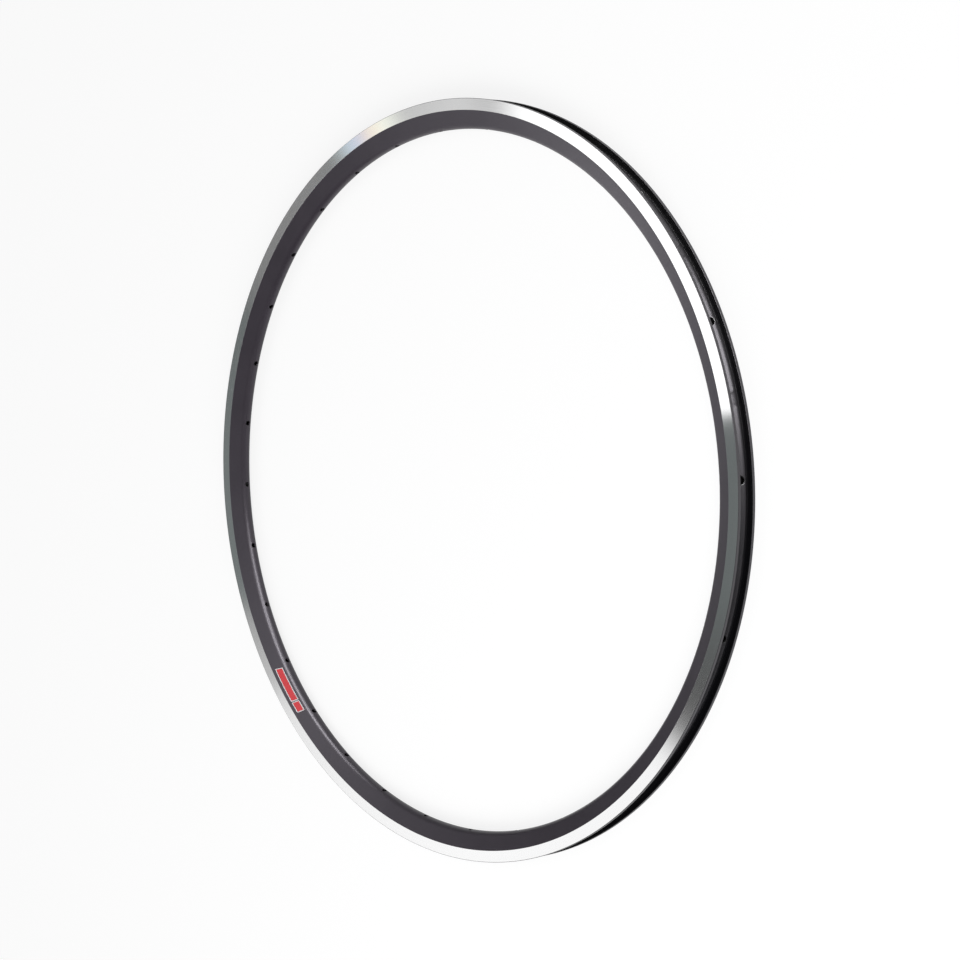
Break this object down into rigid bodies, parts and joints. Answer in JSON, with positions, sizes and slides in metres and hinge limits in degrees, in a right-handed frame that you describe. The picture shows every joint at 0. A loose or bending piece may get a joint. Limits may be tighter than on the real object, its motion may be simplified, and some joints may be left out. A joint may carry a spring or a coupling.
{
  "type": "bicycle rim",
  "caption": "Hollow aluminium road bicycle rim with machined brake tracks, hooked tyre channel, rounded nose and drilled spoke and valve holes.",
  "frame": {"origin": "centre of the hoop, where the wheel axis crosses the mid-plane", "axes": "+Z along the wheel axis, up as the rim lies on one brake track; +X through a spoke hole"},
  "size_m": [0.6339, 0.634, 0.019],
  "materials": {
    "rim": "dark satin anodised body with bare machined brake tracks"
  },
  "bodies": {
    "root": {"rim": "rim"}
  },
  "joints": []
}
